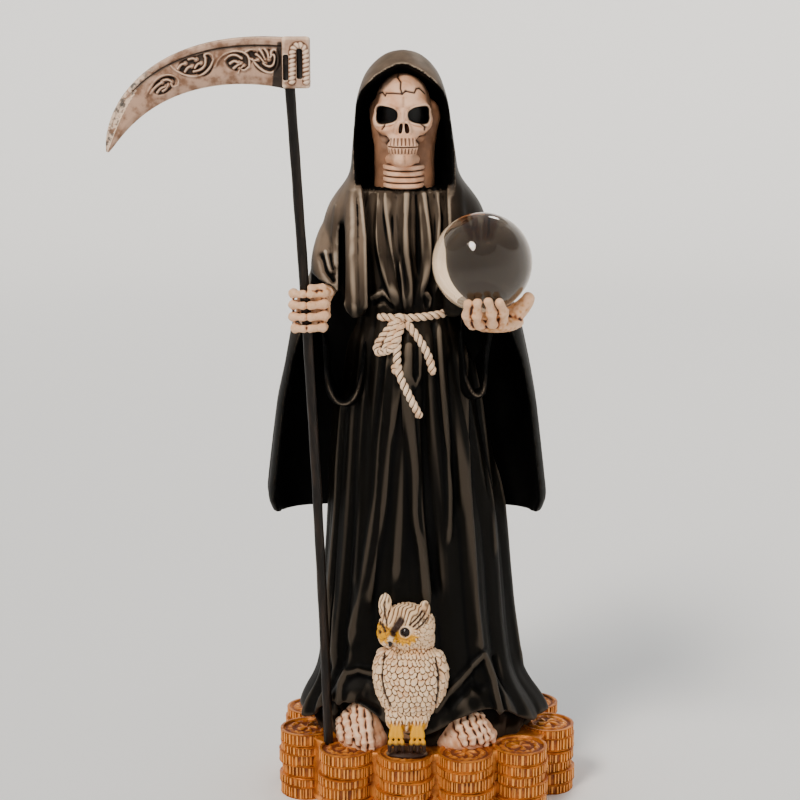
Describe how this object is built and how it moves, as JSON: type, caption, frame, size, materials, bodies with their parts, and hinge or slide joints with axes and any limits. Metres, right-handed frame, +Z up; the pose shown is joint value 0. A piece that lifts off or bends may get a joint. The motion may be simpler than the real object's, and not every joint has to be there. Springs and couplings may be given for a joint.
{
  "type": "santa muerte figure",
  "caption": "Cast resin figure of a hooded skeleton on stacked coins, with a scythe, a clear glass ball and an owl at its feet.",
  "frame": {"origin": "middle of the underside of the coin base", "axes": "+Z up, the figure faces -Y, its right hand with the scythe is on the -X side"},
  "size_m": [0.2424, 0.1553, 0.4094],
  "materials": {
    "robe_paint": "satin black painted resin",
    "bone_paint": "matt bone paint with a brown wash",
    "gold_paint": "antiqued gold paint",
    "owl_paint": "matt cream, brown and yellow paint",
    "rope_paint": "matt cream paint with a brown wash",
    "shaft_paint": "satin brown-black paint",
    "blade_paint": "matt bone paint with a dark wash",
    "clear_glass": "polished"
  },
  "bodies": {
    "root": {"cast_figure": "robe_paint", "scythe_shaft": "shaft_paint", "scythe_head": "blade_paint", "glass_ball": "clear_glass"}
  },
  "joints": []
}
